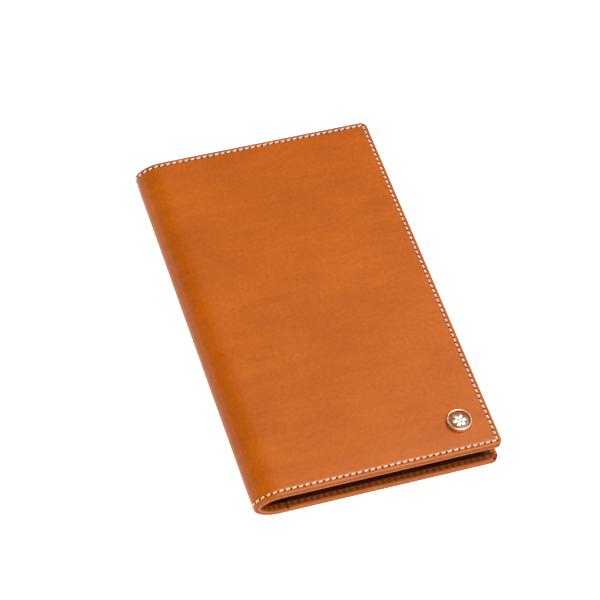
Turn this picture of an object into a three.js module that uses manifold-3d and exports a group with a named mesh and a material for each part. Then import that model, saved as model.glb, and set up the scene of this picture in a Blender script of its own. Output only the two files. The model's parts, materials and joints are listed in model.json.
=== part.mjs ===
// A leather notebook cover, closed and lying on its back cover. Two firm covers are joined by a
// soft round spine that unrolls until the cover lies open and flat. Millimetres; the origin is
// the middle of the face it lies on, +X runs from spine to fore-edge, +Y from tail to head.
import * as THREE from "three";
import { mergeVertices } from "three/addons/utils/BufferGeometryUtils.js";
import Module from "manifold-3d";

const wasm = await Module();
wasm.setup();

// Overall size
const LENGTH = 176;
const COVER_WIDTH = 94.6; // fore-edge to the line where the spine starts to bend
const THICKNESS = 14.9; // outer face to outer face
const NOSE_RADIUS = 4.6; // outer radius of the tight bend at the very back
const FLANK_TURN = Math.PI / 4; // turned by the gentle bend between a cover and the nose
const CORNER_RADIUS = 3;

// Layers of a cover, each from one depth below the outer face to another
const LEATHER = [0, 1.25];
const BOARD = [1.3, 1.75];
const LINING = [1.8, 2.15];
const POCKET = [2.2, 2.6];
const HEM_RIM = [1.3, 3.15]; // the hem's thick outer edge, which closes the layers in
const HEM_LIP = [2.65, 3.15]; // the hem's flap, which holds lining and pocket down

// Widths and distances across a cover
const HEM_WIDTH = 3.2;
const RIM_WIDTH = 1.3;
const LAYER_INSET = 1.6; // lining, pocket and board stop this far inside the cover's edge
const BOARD_TO_SPINE = 2;
const POCKET_TO_SPINE = 3.5;
const GAP = 0.3; // between pieces that meet at a fold or a mitre
const CLEAR = 10; // how far a cutting solid runs past the cover
const CLEAR_DEPTH = 1; // how far it runs past a layer's faces

// Seam
const SEAM_MARGIN = 1.98; // edge to the row of stitches
const THREAD_WIDTH = 0.6;
const CHANNEL_WIDTH = 0.9;
const FACE_THREAD = [0, 0.3]; // lies level with the leather, in a pressed channel
const CHANNEL = [-CLEAR_DEPTH, 0.35];
const INNER_THREAD = [HEM_LIP[1] + 0.02, HEM_LIP[1] + 0.2]; // lies on the hem, inside the cover

// Stud, with heights above the front cover's outer face
const STUD_INSET = 14.3; // centre to the fore-edge, and to the tail
const STUD_RADIUS = 5.1;
const STUD_HEIGHT = 2;
const RIM_WALL = 0.6;
const CUP_FLOOR = [0.05, 0.55];
const POST_RADIUS = 1;
const POST_HOLE = 1.2;
const POST_HEAD = { radius: 2.2, low: 0.6, high: 0.9 };
const POST_END = -1.72;
const DISC = { radius: 4.35, low: 0.95, edge: 1.3, crown: 1.5 };
const MOTIF = { petals: 6, reach: 3.2, waist: 1.9, low: 1.55, high: 1.95 };
const WASHER = { radius: 3.8, high: -1.3, low: -1.7 };
const WASHER_RECESS = 4.2;

const ROUND_STEP = Math.PI / 24; // largest turn between two points of a bend
const LATHE_STEPS = 40;

const LOOK = {
  leather: { color: 0xc9702f, roughness: 0.5, metalness: 0 },
  lining: { color: 0x9c5426, roughness: 0.7, metalness: 0 },
  board: { color: 0x9a8a72, roughness: 0.9, metalness: 0 },
  faceThread: { color: 0xf3ead6, roughness: 0.7, metalness: 0 },
  innerThread: { color: 0xa8622c, roughness: 0.7, metalness: 0 },
  gold: { color: 0xe6d6b0, roughness: 0.2, metalness: 1 },
  enamel: { color: 0x9c4a17, roughness: 0.15, metalness: 0 },
  steel: { color: 0xb8b8b4, roughness: 0.4, metalness: 1 },
};

// The cover's outline seen from its end: front cover, flank, nose, flank, back cover.
const FLANK_RADIUS =
  (THICKNESS / 2 - NOSE_RADIUS * Math.cos(FLANK_TURN)) / (1 - Math.cos(FLANK_TURN));
const NOSE_TURN = Math.PI - 2 * FLANK_TURN;
const FLANK_LENGTH = FLANK_RADIUS * FLANK_TURN;
const NOSE_LENGTH = NOSE_RADIUS * NOSE_TURN;
const SPINE_REACH = (FLANK_RADIUS - NOSE_RADIUS) * Math.sin(FLANK_TURN) + NOSE_RADIUS;
const FORE_EDGE_X = (COVER_WIDTH + SPINE_REACH) / 2;
const OUTLINE = [
  { length: COVER_WIDTH, turn: 0 },
  { length: FLANK_LENGTH, turn: FLANK_TURN },
  { length: NOSE_LENGTH, turn: NOSE_TURN },
  { length: FLANK_LENGTH, turn: FLANK_TURN },
  { length: COVER_WIDTH, turn: 0 },
];
const OUTLINE_LENGTH = OUTLINE.reduce((sum, stretch) => sum + stretch.length, 0);

const FULL_LENGTH = [-LENGTH / 2, LENGTH / 2];
const INNER_LENGTH = [-LENGTH / 2 + LAYER_INSET, LENGTH / 2 - LAYER_INSET];

// The folds, as distances along the outline from the front cover's fore-edge
const FRONT_FOLD = COVER_WIDTH + FLANK_LENGTH / 2;
const NOSE_FOLD = OUTLINE_LENGTH / 2;
const BACK_FOLD = OUTLINE_LENGTH - FRONT_FOLD;

// The point (x, z) at a distance along the outline and a depth inside it.
function outlinePoint(distance, depth) {
  let x = FORE_EDGE_X;
  let z = THICKNESS;
  let heading = Math.PI;
  let left = distance;
  for (const stretch of OUTLINE) {
    const { length, turn } = stretch;
    const walked = stretch === OUTLINE.at(-1) ? left : Math.min(left, length);
    const turned = (turn * walked) / length;
    if (turn > 0) {
      const radius = length / turn;
      x += radius * (Math.sin(heading + turned) - Math.sin(heading));
      z -= radius * (Math.cos(heading + turned) - Math.cos(heading));
    } else {
      x += walked * Math.cos(heading);
      z += walked * Math.sin(heading);
    }
    heading += turned;
    left -= walked;
  }
  return new THREE.Vector2(x - depth * Math.sin(heading), z + depth * Math.cos(heading));
}

// The outline distances where a bent layer needs a point.
function bendStops() {
  const stops = [];
  let start = 0;
  for (const { length, turn } of OUTLINE) {
    const steps = Math.max(1, Math.round(turn / ROUND_STEP));
    for (let i = 0; i < steps; i++) stops.push(start + (length * i) / steps);
    start += length;
  }
  return stops;
}
const BEND_STOPS = bendStops();

// These two turn a closed geometry into a solid that can be joined and cut, and back.
function solidOf(geometry) {
  const bare = geometry.clone();
  bare.deleteAttribute("normal");
  bare.deleteAttribute("uv");
  const merged = mergeVertices(bare, 1e-4);
  return new wasm.Manifold(
    new wasm.Mesh({
      numProp: 3,
      vertProperties: merged.attributes.position.array,
      triVerts: new Uint32Array(merged.index.array),
    }),
  );
}

function geometryOf(solid) {
  const mesh = solid.getMesh();
  const geometry = new THREE.BufferGeometry();
  geometry.setAttribute("position", new THREE.BufferAttribute(mesh.vertProperties, 3));
  geometry.setIndex(new THREE.BufferAttribute(mesh.triVerts, 1));
  geometry.computeVertexNormals();
  return geometry;
}

// A layer that follows the outline from one distance to another, between two depths and two y.
function layer([from, to], [outer, inner], [low, high]) {
  const stops = [from, ...BEND_STOPS.filter((s) => s > from + GAP / 2 && s < to - GAP / 2), to];
  const face = stops.map((s) => outlinePoint(s, outer));
  const back = stops.map((s) => outlinePoint(s, inner)).reverse();
  const shape = new THREE.Shape([...face, ...back]);
  const extruded = new THREE.ExtrudeGeometry(shape, { depth: high - low, bevelEnabled: false });
  return solidOf(extruded.rotateX(Math.PI / 2).translate(0, high, 0));
}

// An upright prism over a plan outline, for cutting layers to shape.
function prism(shape) {
  const depth = THICKNESS + 2 * CLEAR;
  const extruded = new THREE.ExtrudeGeometry(shape, {
    depth,
    bevelEnabled: false,
    curveSegments: 6,
  });
  return solidOf(extruded.translate(0, 0, -CLEAR));
}

function roundedPlan() {
  const side = LENGTH / 2;
  const shape = new THREE.Shape();
  shape.moveTo(-FORE_EDGE_X - CLEAR, -side);
  shape.lineTo(FORE_EDGE_X - CORNER_RADIUS, -side);
  shape.absarc(
    FORE_EDGE_X - CORNER_RADIUS, -side + CORNER_RADIUS, CORNER_RADIUS, -Math.PI / 2, 0, false);
  shape.absarc(
    FORE_EDGE_X - CORNER_RADIUS, side - CORNER_RADIUS, CORNER_RADIUS, 0, Math.PI / 2, false);
  shape.lineTo(-FORE_EDGE_X - CLEAR, side);
  return prism(shape);
}

// The part of the plan where a hem lies, cut back to the mitre at the corners.
function mitrePlan(edge) {
  const side = LENGTH / 2;
  const half = (GAP / 2) * Math.SQRT2;
  const corners = {
    head: [
      [-FORE_EDGE_X - CLEAR, side + CLEAR],
      [-FORE_EDGE_X - CLEAR, side - HEM_WIDTH - half],
      [FORE_EDGE_X - HEM_WIDTH - 2 * half, side - HEM_WIDTH - half],
      [FORE_EDGE_X + CLEAR - half, side + CLEAR],
    ],
    foreEdge: [
      [FORE_EDGE_X - HEM_WIDTH, side - HEM_WIDTH - half],
      [FORE_EDGE_X - HEM_WIDTH, -side + HEM_WIDTH + half],
      [FORE_EDGE_X + CLEAR, -side - CLEAR + half],
      [FORE_EDGE_X + CLEAR, side + CLEAR - half],
    ],
  };
  const points = corners[edge === "tail" ? "head" : edge].map(([x, y]) =>
    new THREE.Vector2(x, edge === "tail" ? -y : y));
  return prism(new THREE.Shape(points));
}

// An outline stretch mirrored from the front cover's half to the back cover's half.
function mirrored([from, to]) {
  return [OUTLINE_LENGTH - to, OUTLINE_LENGTH - from];
}

// The y range of a band along the head or the tail, from one distance inside the edge to another.
function bandAlong(edge, near, far) {
  const side = LENGTH / 2;
  return edge === "head" ? [side - far, side - near] : [-side + near, -side + far];
}

// A row of stitches, as a thread or a channel of one width, along the head or tail only.
function seamAlong(edge, stretch, depths, width) {
  return layer(stretch, depths, bandAlong(edge, SEAM_MARGIN - width / 2, SEAM_MARGIN + width / 2));
}

// The same row round a cover's three free edges, up to a distance along the outline.
function seamRound(end, [outer, inner], width, flip) {
  const near = SEAM_MARGIN - width / 2;
  const far = SEAM_MARGIN + width / 2;
  const side = LENGTH / 2;
  const middle = layer(
    flip([far, end + CLEAR_DEPTH]),
    [outer - CLEAR_DEPTH, inner + CLEAR_DEPTH],
    [-side + far, side - far],
  );
  return layer(flip([near, end]), [outer, inner], [-side + near, side - near]).subtract(middle);
}

// A hem is a flap with a thick rim at its outer edge, where it closes the layers in.
function hemAlong(edge, [from, to]) {
  const underFlap = layer(
    [from - CLEAR_DEPTH, to + CLEAR_DEPTH],
    [HEM_RIM[0] - CLEAR_DEPTH, HEM_LIP[0]],
    bandAlong(edge, RIM_WIDTH, HEM_WIDTH + CLEAR_DEPTH),
  );
  return layer([from, to], HEM_RIM, bandAlong(edge, 0, HEM_WIDTH)).subtract(underFlap);
}

function hemAtForeEdge(flip) {
  const underFlap = layer(
    flip([RIM_WIDTH, HEM_WIDTH + CLEAR_DEPTH]),
    [HEM_RIM[0] - CLEAR_DEPTH, HEM_LIP[0]],
    [-LENGTH, LENGTH],
  );
  return layer(flip([0, HEM_WIDTH]), HEM_RIM, FULL_LENGTH).subtract(underFlap);
}

const cover = new THREE.Group();

function place(name, geometry, look, parent = cover) {
  const mesh = new THREE.Mesh(geometry, new THREE.MeshStandardMaterial(LOOK[look]));
  mesh.name = name;
  parent.add(mesh);
}

const STUD_X = FORE_EDGE_X - STUD_INSET;
const STUD_Y = -LENGTH / 2 + STUD_INSET;

// An upright round hole through a cover at the stud.
function studHole(radius) {
  const drill = new THREE.CylinderGeometry(radius, radius, THICKNESS, LATHE_STEPS);
  drill.rotateX(Math.PI / 2).translate(STUD_X, STUD_Y, THICKNESS);
  return solidOf(drill);
}

// One cover with the half of the flank that turns with it. flip keeps an outline stretch on the
// front cover's half or mirrors it to the back cover's.
function addCover(side, flip, drilled) {
  const corners = roundedPlan();
  const end = FRONT_FOLD - GAP / 2;
  let leather = layer(flip([0, end]), LEATHER, FULL_LENGTH).intersect(corners);
  leather = leather.subtract(seamRound(end + CLEAR_DEPTH, CHANNEL, CHANNEL_WIDTH, flip));
  let board = layer(flip([LAYER_INSET, COVER_WIDTH - BOARD_TO_SPINE]), BOARD, INNER_LENGTH);
  if (drilled) {
    leather = leather.subtract(studHole(POST_HOLE));
    board = board.subtract(studHole(WASHER_RECESS));
  }
  const lining = layer(flip([LAYER_INSET, end]), LINING, INNER_LENGTH);
  const pocket = layer(flip([LAYER_INSET, COVER_WIDTH - POCKET_TO_SPINE]), POCKET, INNER_LENGTH);
  const foreEdge = hemAtForeEdge(flip).intersect(mitrePlan("foreEdge")).intersect(corners);
  place(side + "_leather", geometryOf(leather), "leather");
  place(side + "_board", geometryOf(board), "board");
  place(side + "_lining", geometryOf(lining), "lining");
  place(side + "_pocket", geometryOf(pocket), "lining");
  place(side + "_hem_fore_edge", geometryOf(foreEdge), "leather");
  for (const edge of ["head", "tail"]) {
    const hem = hemAlong(edge, flip([0, end])).intersect(mitrePlan(edge)).intersect(corners);
    place(side + "_hem_" + edge, geometryOf(hem), "leather");
  }
  const faceThread = seamRound(end, FACE_THREAD, THREAD_WIDTH, flip);
  const innerThread = seamRound(end, INNER_THREAD, THREAD_WIDTH, flip);
  place(side + "_face_thread", geometryOf(faceThread), "faceThread");
  place(side + "_inner_thread", geometryOf(innerThread), "innerThread");
}

// One half of the spine, from the middle of a flank to the middle of the nose.
function addSpineHalf(side, flip) {
  const stretch = flip([FRONT_FOLD + GAP / 2, NOSE_FOLD - GAP / 2]);
  const channel = flip([FRONT_FOLD - CLEAR_DEPTH, NOSE_FOLD + CLEAR_DEPTH]);
  let leather = layer(stretch, LEATHER, FULL_LENGTH);
  for (const edge of ["head", "tail"]) {
    leather = leather.subtract(seamAlong(edge, channel, CHANNEL, CHANNEL_WIDTH));
    const faceThread = seamAlong(edge, stretch, FACE_THREAD, THREAD_WIDTH);
    const innerThread = seamAlong(edge, stretch, INNER_THREAD, THREAD_WIDTH);
    place(side + "_hem_" + edge, geometryOf(hemAlong(edge, stretch)), "leather");
    place(side + "_face_thread_" + edge, geometryOf(faceThread), "faceThread");
    place(side + "_inner_thread_" + edge, geometryOf(innerThread), "innerThread");
  }
  place(side + "_leather", geometryOf(leather), "leather");
  place(side + "_lining", geometryOf(layer(stretch, LINING, INNER_LENGTH)), "lining");
}

function lathed(points) {
  const profile = points.map(([radius, height]) => new THREE.Vector2(radius, height));
  return new THREE.LatheGeometry(profile, LATHE_STEPS).rotateX(Math.PI / 2);
}

// The bezel is a shallow cup with a rounded rim and a hole in its floor for the post.
function bezel() {
  const middle = STUD_RADIUS - RIM_WALL / 2;
  const crest = [];
  for (let i = 0; i <= 6; i++) {
    const angle = (Math.PI * i) / 6;
    crest.push([
      middle + (RIM_WALL / 2) * Math.cos(angle),
      STUD_HEIGHT - RIM_WALL / 2 + (RIM_WALL / 2) * Math.sin(angle),
    ]);
  }
  return lathed([
    [POST_HOLE, CUP_FLOOR[0]],
    [STUD_RADIUS, CUP_FLOOR[0]],
    ...crest,
    [STUD_RADIUS - RIM_WALL, CUP_FLOOR[1]],
    [POST_HOLE, CUP_FLOOR[1]],
    [POST_HOLE, CUP_FLOOR[0]],
  ]);
}

// A plain flower, whose outline swells into a petal between two waists.
function flower() {
  const steps = MOTIF.petals * 8;
  const points = [];
  for (let i = 0; i < steps; i++) {
    const angle = (2 * Math.PI * i) / steps;
    const swell = Math.abs(Math.cos((MOTIF.petals * angle) / 2));
    const radius = MOTIF.waist + (MOTIF.reach - MOTIF.waist) * Math.sqrt(swell);
    points.push(new THREE.Vector2(radius * Math.cos(angle), radius * Math.sin(angle)));
  }
  const depth = MOTIF.high - MOTIF.low;
  const shape = new THREE.Shape(points);
  return new THREE.ExtrudeGeometry(shape, { depth, bevelEnabled: false })
    .translate(0, 0, MOTIF.low);
}

function addStud() {
  const stud = new THREE.Group();
  stud.position.set(STUD_X, STUD_Y, THICKNESS);
  cover.add(stud);
  place("stud_bezel", bezel(), "gold", stud);
  place("stud_disc", lathed([
    [0, DISC.low],
    [DISC.radius, DISC.low],
    [DISC.radius, DISC.edge],
    [DISC.radius / 2, DISC.crown],
    [0, DISC.crown],
  ]), "enamel", stud);
  place("stud_motif", flower(), "gold", stud);
  place("stud_post", lathed([
    [0, POST_END],
    [POST_RADIUS, POST_END],
    [POST_RADIUS, POST_HEAD.low],
    [POST_HEAD.radius, POST_HEAD.low],
    [POST_HEAD.radius, POST_HEAD.high],
    [0, POST_HEAD.high],
  ]), "steel", stud);
  place("stud_washer", lathed([
    [POST_HOLE, WASHER.low],
    [WASHER.radius, WASHER.low],
    [WASHER.radius, WASHER.high],
    [POST_HOLE, WASHER.high],
    [POST_HOLE, WASHER.low],
  ]), "steel", stud);
}

const same = (stretch) => stretch;
addCover("back", mirrored, false);
addSpineHalf("spine_back", mirrored);
addSpineHalf("spine_front", same);
addCover("front", same, true);
addStud();

export default cover;
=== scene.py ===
# %% [markdown]
# # A leather notebook cover
# Two firm covers are joined by a soft round spine. The cover is closed and lies on its back.
# The sizes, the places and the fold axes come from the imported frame, and this script makes the
# parts that are seen: leather panels, turned hems, saddle stitches and a small metal stud.

# %% Load the frame
import json
import math
import bmesh
import bpy
import numpy as np
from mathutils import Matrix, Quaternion, Vector


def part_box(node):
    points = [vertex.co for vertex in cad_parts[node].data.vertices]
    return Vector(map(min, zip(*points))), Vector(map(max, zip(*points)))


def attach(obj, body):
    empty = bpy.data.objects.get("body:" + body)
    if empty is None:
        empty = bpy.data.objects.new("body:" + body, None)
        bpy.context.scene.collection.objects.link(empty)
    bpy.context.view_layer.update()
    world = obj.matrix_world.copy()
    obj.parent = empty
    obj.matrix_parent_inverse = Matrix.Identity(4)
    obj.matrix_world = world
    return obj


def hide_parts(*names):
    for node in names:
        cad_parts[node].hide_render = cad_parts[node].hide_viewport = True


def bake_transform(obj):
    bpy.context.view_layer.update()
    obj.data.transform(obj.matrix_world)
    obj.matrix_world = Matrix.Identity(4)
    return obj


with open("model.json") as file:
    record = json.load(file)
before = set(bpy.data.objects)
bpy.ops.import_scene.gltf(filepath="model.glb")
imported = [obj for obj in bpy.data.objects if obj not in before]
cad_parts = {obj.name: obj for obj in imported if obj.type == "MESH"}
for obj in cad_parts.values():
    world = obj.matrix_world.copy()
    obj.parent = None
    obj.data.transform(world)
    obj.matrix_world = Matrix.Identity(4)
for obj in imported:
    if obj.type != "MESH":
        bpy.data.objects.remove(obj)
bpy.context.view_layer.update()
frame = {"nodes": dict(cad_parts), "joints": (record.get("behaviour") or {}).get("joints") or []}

# %% [markdown]
# ## The outline that everything follows
# Seen from its end, the cover is one path: front cover, gentle bend, tight bend, gentle bend,
# back cover. Each leather piece can be cut flat, as on a bench, and then bent along that path.
# So the path is worked out first, from the frame's sizes and from the fold axis of the front
# joint, which lies a little outside the arc's own centre line.

# %% The outline of the section
MM = 0.001
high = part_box("front_leather")[1]
FORE_EDGE, HALF_LENGTH, THICKNESS = high.x, high.y, high.z
joints = {joint["name"]: joint for joint in frame["joints"]}
FLANK_TURN = math.radians(joints["front_fold"]["range_deg"][1])
NOSE_TURN = math.radians(joints["nose_fold"]["range_deg"][1])
pivot_x, _, pivot_z = joints["front_fold"]["pos_m"]
pivot_share = (FLANK_TURN / 2) / math.sin(FLANK_TURN / 2)
FLANK_RADIUS = (THICKNESS - pivot_z) / (1 - pivot_share * math.cos(FLANK_TURN / 2))
NOSE_RADIUS = (THICKNESS / 2 - FLANK_RADIUS * (1 - math.cos(FLANK_TURN))) / math.cos(FLANK_TURN)
COVER_WIDTH = FORE_EDGE - pivot_x - FLANK_RADIUS * pivot_share * math.sin(FLANK_TURN / 2)
NOSE_START = COVER_WIDTH + FLANK_RADIUS * FLANK_TURN
NOSE_END = NOSE_START + NOSE_RADIUS * NOSE_TURN
OUTLINE = (
    (COVER_WIDTH, 0),
    (FLANK_RADIUS * FLANK_TURN, FLANK_TURN),
    (NOSE_RADIUS * NOSE_TURN, NOSE_TURN),
    (FLANK_RADIUS * FLANK_TURN, FLANK_TURN),
    (COVER_WIDTH, 0),
)
OUTLINE_LENGTH = sum(length for length, _ in OUTLINE)


def drawn_section(u, depth):
    """x and z on the outline as drawn, from straight lines and arcs."""
    left = np.array(u, float)
    x, z = np.full(left.shape, FORE_EDGE), np.full(left.shape, THICKNESS)
    heading = np.full(left.shape, math.pi)
    for number, (length, turn) in enumerate(OUTLINE):
        lowest = -math.inf if number == 0 else 0
        longest = math.inf if number == len(OUTLINE) - 1 else length
        walked = np.clip(left, lowest, longest)
        ahead = heading + turn * walked / length
        if turn:
            radius = length / turn
            x = x + radius * (np.sin(ahead) - np.sin(heading))
            z = z - radius * (np.cos(ahead) - np.cos(heading))
        else:
            x = x + walked * np.cos(heading)
            z = z + walked * np.sin(heading)
        heading = ahead
        left = left - walked
    return x - depth * np.sin(heading), z + depth * np.cos(heading)


# Leather doesn't start to bend all at once, so the outline is averaged over a few millimetres.
EASING_STEP, EASING_WEIGHTS = 1.2 * MM, (1, 4, 6, 4, 1)
EASING = [((number - 2) * EASING_STEP, weight / sum(EASING_WEIGHTS))
          for number, weight in enumerate(EASING_WEIGHTS)]


def section(u, depth=0.0):
    """x and z at a distance u along the outer face and a depth inside it."""
    eased = [(drawn_section(u + shift, depth), weight) for shift, weight in EASING]
    return (sum(place[0] * weight for place, weight in eased),
            sum(place[1] * weight for place, weight in eased))


print(f"flank radius {FLANK_RADIUS / MM:.2f} mm, nose radius {NOSE_RADIUS / MM:.2f} mm,",
      f"cut length {OUTLINE_LENGTH / MM:.1f} mm")

# %% [markdown]
# ## Camera
# The camera is made early. It stands about a metre away with a long lens, above the tail end
# and towards the spine, and is rolled a little.

# %% Camera
def back_vector(azimuth, elevation):
    """The unit vector from the cover to a camera or a lamp; azimuth 0 is in front of the tail."""
    return Vector((
        math.sin(azimuth) * math.cos(elevation),
        -math.cos(azimuth) * math.cos(elevation),
        math.sin(elevation),
    ))


CAMERA_AZIMUTH, CAMERA_ELEVATION = math.radians(-23.64), math.radians(53.48)
CAMERA_ROLL, CAMERA_DISTANCE = math.radians(7.2), 1.0803
to_camera = back_vector(CAMERA_AZIMUTH, CAMERA_ELEVATION)
aim = Vector((-2.54 * MM, 6.77 * MM, THICKNESS / 2))
camera_data = bpy.data.cameras.new("camera")
camera_data.lens = 153.1
# The lens is shifted a little, as on a view camera, which sets the cover's place in the frame.
camera_data.shift_x, camera_data.shift_y = -0.0018, -0.001
camera = bpy.data.objects.new("camera", camera_data)
camera.location = aim + to_camera * CAMERA_DISTANCE
camera.rotation_mode = "QUATERNION"
roll = Quaternion((0, 0, 1), CAMERA_ROLL)
camera.rotation_quaternion = (-to_camera).to_track_quat("-Z", "Y") @ roll
bpy.context.scene.collection.objects.link(camera)
bpy.context.scene.camera = camera
print("camera at", [round(v, 3) for v in camera.location])

# %% [markdown]
# ## Helpers for node trees
# A procedural material is a small tree of nodes. One function turns a hex colour, as a designer
# would note it, into the linear values that the shader needs. One fills a node's inputs, where
# an input is a value, another node's output, or a node, whose first output is then meant. One
# adds a node with its settings, its inputs and, on a colour ramp, its stops.

# %% Node and colour helpers
MATH, NOISE, BUMP = "ShaderNodeMath", "ShaderNodeTexNoise", "ShaderNodeBump"
RAMP, MAPPING, RANGE = "ShaderNodeValToRGB", "ShaderNodeMapping", "ShaderNodeMapRange"


def linear(hex_colour):
    """A colour written as #rrggbb, as linear red, green, blue and an alpha of 1."""
    parts = [int(hex_colour[i:i + 2], 16) / 255 for i in (1, 3, 5)]
    return (*[p / 12.92 if p <= 0.04045 else ((p + 0.055) / 1.055) ** 2.4 for p in parts], 1.0)


def fill(tree, node, inputs):
    """Sets a node's inputs, keyed by socket name or number, or listed in the sockets' order."""
    for key, value in inputs.items() if isinstance(inputs, dict) else enumerate(inputs):
        if isinstance(value, bpy.types.Node):
            value = value.outputs[0]
        if isinstance(value, bpy.types.NodeSocket):
            tree.links.new(value, node.inputs[key])
        else:
            node.inputs[key].default_value = value


def add(tree, kind, inputs=(), stops=(), **settings):
    """Adds a node. Stops are the (position, hex colour) pairs of a colour ramp."""
    made = tree.nodes.new(kind)
    for name, value in settings.items():
        setattr(made, name, value)
    fill(tree, made, inputs)
    for number, (position, colour) in enumerate(stops):
        elements = made.color_ramp.elements
        element = elements[number] if number < len(elements) else elements.new(position)
        element.position, element.color = position, linear(colour)
    return made


def new_material(name):
    """An empty node material, with its principled shader."""
    material = bpy.data.materials.new(name)
    material.use_nodes = True
    return material, material.node_tree, material.node_tree.nodes["Principled BSDF"]


print("a mid grey of #808080 is", round(linear("#808080")[0], 3), "in linear light")


# %% [markdown]
# ## The seam's pattern
# Saddle stitching goes through holes pricked at an even pitch. The same holes shape the leather,
# colour it and carry the thread, so their pitch is worked out once: a whole number of stitches
# fits between the corners of the seam.

# %% Seam sizes
THREAD_WIDTH = 0.6 * MM
SEAM = FORE_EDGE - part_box("front_face_thread")[1].x + THREAD_WIDTH / 2
LONG_STITCHES, SHORT_STITCHES = 78, 65
LONG_PITCH = (OUTLINE_LENGTH - 2 * SEAM) / LONG_STITCHES
SHORT_PITCH = 2 * (HALF_LENGTH - SEAM) / SHORT_STITCHES


def seam_distance(u, v, shift=0.0):
    """Distance on the flat pattern to the nearest hole, or with a shift of 0.5 to the nearest
    stitch's middle."""
    def off(value, pitch):
        return (value / pitch + 0.5 - shift) % 1 * pitch - pitch / 2

    along_long = np.hypot(off(u - SEAM, LONG_PITCH), np.abs(v) - (HALF_LENGTH - SEAM))
    across = np.abs(u - OUTLINE_LENGTH / 2) - (OUTLINE_LENGTH / 2 - SEAM)
    along_short = np.hypot(off(v + HALF_LENGTH - SEAM, SHORT_PITCH), across)
    return np.minimum(along_long, along_short)


print(f"seam {SEAM / MM:.2f} mm in, pitch {LONG_PITCH / MM:.3f} and {SHORT_PITCH / MM:.3f} mm")

# %% [markdown]
# ## Leather
# The cover is vegetable-tanned calf, drummed, waxed and polished to a satin sheen. Up close it
# has fine pores, its dye clouds a little, and the polishing brush leaves faint streaks across
# the cover. The pricked holes are matt, and a painted shade darkens them. The wax is amber, so
# it tints the sheen. The pattern attribute holds each point's place on the flat leather, so
# grain, holes and painted shade bend with the leather instead of sliding.

# %% Painted shade spots along the seam
SLIT_NARROWING = 1.9  # a slit is this much narrower than a spot is round
SLIT_FADE = 6.0  # and it fades this fast above its own depth


def painted_seam_shade(tree, pattern, radius, shift, slit=None):
    """1 in a spot of painted shade round each hole, or round each stitch's middle, and 0 outside.
    A slit is a line at a distance from the fore-edge, below a depth, that counts as a spot too."""
    axes = add(tree, "ShaderNodeSeparateXYZ", (pattern,)).outputs
    u = add(tree, MATH, (axes["X"], -1.0), operation="MULTIPLY")
    v = axes["Y"]

    def row(along, start, pitch, across):
        """Distance to the nearest hole of the rows that run along one axis."""
        shifted = add(tree, MATH, (along, start + pitch * (shift - 0.5)), operation="SUBTRACT")
        wrapped = add(tree, MATH, (shifted, pitch), operation="FLOORED_MODULO")
        off = add(tree, MATH, (wrapped, pitch / 2), operation="SUBTRACT")
        squared = add(tree, MATH, (across, across), operation="MULTIPLY")
        total = add(tree, MATH, (off, off, squared), operation="MULTIPLY_ADD")
        return add(tree, MATH, (total,), operation="SQRT")

    from_middle = add(tree, MATH, (v,), operation="ABSOLUTE")
    to_long = add(tree, MATH, (from_middle, HALF_LENGTH - SEAM), operation="SUBTRACT")
    from_nose = add(tree, MATH, (u, OUTLINE_LENGTH / 2), operation="SUBTRACT")
    centred = add(tree, MATH, (from_nose,), operation="ABSOLUTE")
    to_short = add(tree, MATH, (centred, OUTLINE_LENGTH / 2 - SEAM), operation="SUBTRACT")
    long_row = row(u, SEAM, LONG_PITCH, to_long)
    short_row = row(v, SEAM - HALF_LENGTH, SHORT_PITCH, to_short)
    nearest = add(tree, MATH, (long_row, short_row), operation="MINIMUM")
    if slit:
        past = add(tree, MATH, (centred, OUTLINE_LENGTH / 2 - slit[0]), operation="SUBTRACT")
        beside = add(tree, MATH, (past,), operation="ABSOLUTE")
        wide = add(tree, MATH, (beside, SLIT_NARROWING), operation="MULTIPLY")
        risen = add(tree, MATH, (axes["Z"], slit[1]))
        above = add(tree, MATH, (risen, 0.0), operation="MAXIMUM")
        off_slit = add(tree, MATH, (above, SLIT_FADE, wide), operation="MULTIPLY_ADD")
        nearest = add(tree, MATH, (nearest, off_slit), operation="MINIMUM")
    return add(tree, RANGE, {
        "Value": nearest, "From Min": radius * 1.25, "From Max": radius * 0.7,
        "To Min": 0.0, "To Max": 1.0}, interpolation_type="SMOOTHSTEP")


print("dark spots repeat every", round(LONG_PITCH / MM, 2), "mm along the long rows")

# %% [markdown]
# Three noises make the tone: wide clouds of dye, streaks stretched across the cover, and short
# fibres. The fibres also vary the polish, and the pores are a cell pattern at their real size.

# %% Leather materials
CLOUD, STREAK, FIBRE, PORE = 38 * MM, 5 * MM, 1.6 * MM, 0.42 * MM
STRETCH = 0.18  # a streak is longer than it is wide by one over this
RAW_ROUGHNESS = 0.9


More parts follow.
